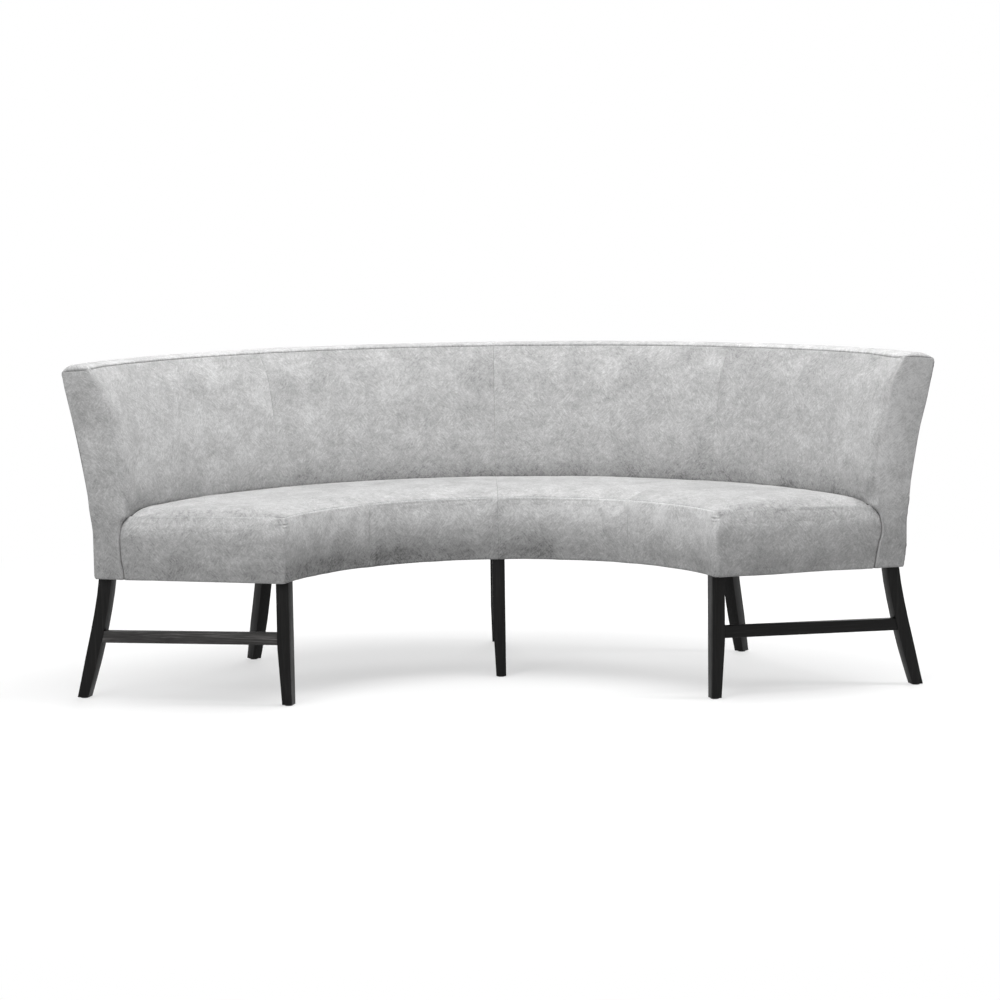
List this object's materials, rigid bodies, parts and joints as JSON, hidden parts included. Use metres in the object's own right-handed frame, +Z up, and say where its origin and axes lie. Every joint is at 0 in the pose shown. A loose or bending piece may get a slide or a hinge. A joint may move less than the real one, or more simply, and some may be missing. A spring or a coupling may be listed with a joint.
{
  "type": "curved upholstered banquette bench",
  "caption": "Curved upholstered banquette bench: an arc-shaped seat and high leaning back in seamed light grey velvet, on slim dark tapered legs with low side stretchers.",
  "frame": {"origin": "on the floor, midway between the ends and midway from front to back", "axes": "+X along the width, to the right as seen from the open front; +Y from the open front of the arc to the outer back; +Z up"},
  "size_m": [2.2416, 1.0086, 0.8736],
  "materials": {
    "velvet": "light grey velvet with a soft cloudy nap",
    "stained_wood": "black stained hardwood with a satin finish",
    "beech": "plain sawn beech",
    "plywood": "plain birch plywood",
    "foam": "open-cell upholstery foam",
    "padding": "white wadding",
    "dust_cloth": "black non-woven cloth",
    "steel": "zinc plated steel",
    "glide": "black nylon"
  },
  "bodies": {
    "root": {"front_leg_left": "stained_wood", "front_leg_centre": "stained_wood", "front_leg_right": "stained_wood", "rear_leg_left_end": "stained_wood", "rear_leg_left": "stained_wood", "rear_leg_centre": "stained_wood", "rear_leg_right": "stained_wood", "rear_leg_right_end": "stained_wood", "stretcher_left": "stained_wood", "stretcher_right": "stained_wood", "foot_glides": "glide", "front_rail_left": "beech", "front_rail_right": "beech", "rear_rail_left_end": "beech", "rear_rail_left": "beech", "rear_rail_right": "beech", "rear_rail_right_end": "beech", "end_rail_left": "beech", "end_rail_right": "beech", "cross_rail_left": "beech", "cross_rail_centre": "beech", "cross_rail_right": "beech", "corner_blocks": "beech", "frame_dowels": "beech", "end_rail_screws": "steel", "seat_board_left_end": "plywood", "seat_board_left": "plywood", "seat_board_right": "plywood", "seat_board_right_end": "plywood", "dust_cover": "dust_cloth", "seat_foam": "foam", "front_padding": "padding", "seat_end_pad_left": "padding", "seat_end_pad_right": "padding", "seat_cover_left_end": "velvet", "seat_cover_left": "velvet", "seat_cover_right": "velvet", "seat_cover_right_end": "velvet", "boxing_left_end": "velvet", "boxing_left": "velvet", "boxing_right": "velvet", "boxing_right_end": "velvet", "top_rail_left": "plywood", "top_rail_right": "plywood", "back_end_board_left": "plywood", "back_end_board_right": "plywood", "inner_back_panel": "plywood", "outer_back_panel": "plywood", "back_foam": "foam", "top_foam": "foam", "back_end_pad_left": "padding", "back_end_pad_right": "padding", "back_cover_left_end": "velvet", "back_cover_left": "velvet", "back_cover_right": "velvet", "back_cover_right_end": "velvet", "top_band": "velvet", "outer_back_cover": "velvet"}
  },
  "joints": []
}
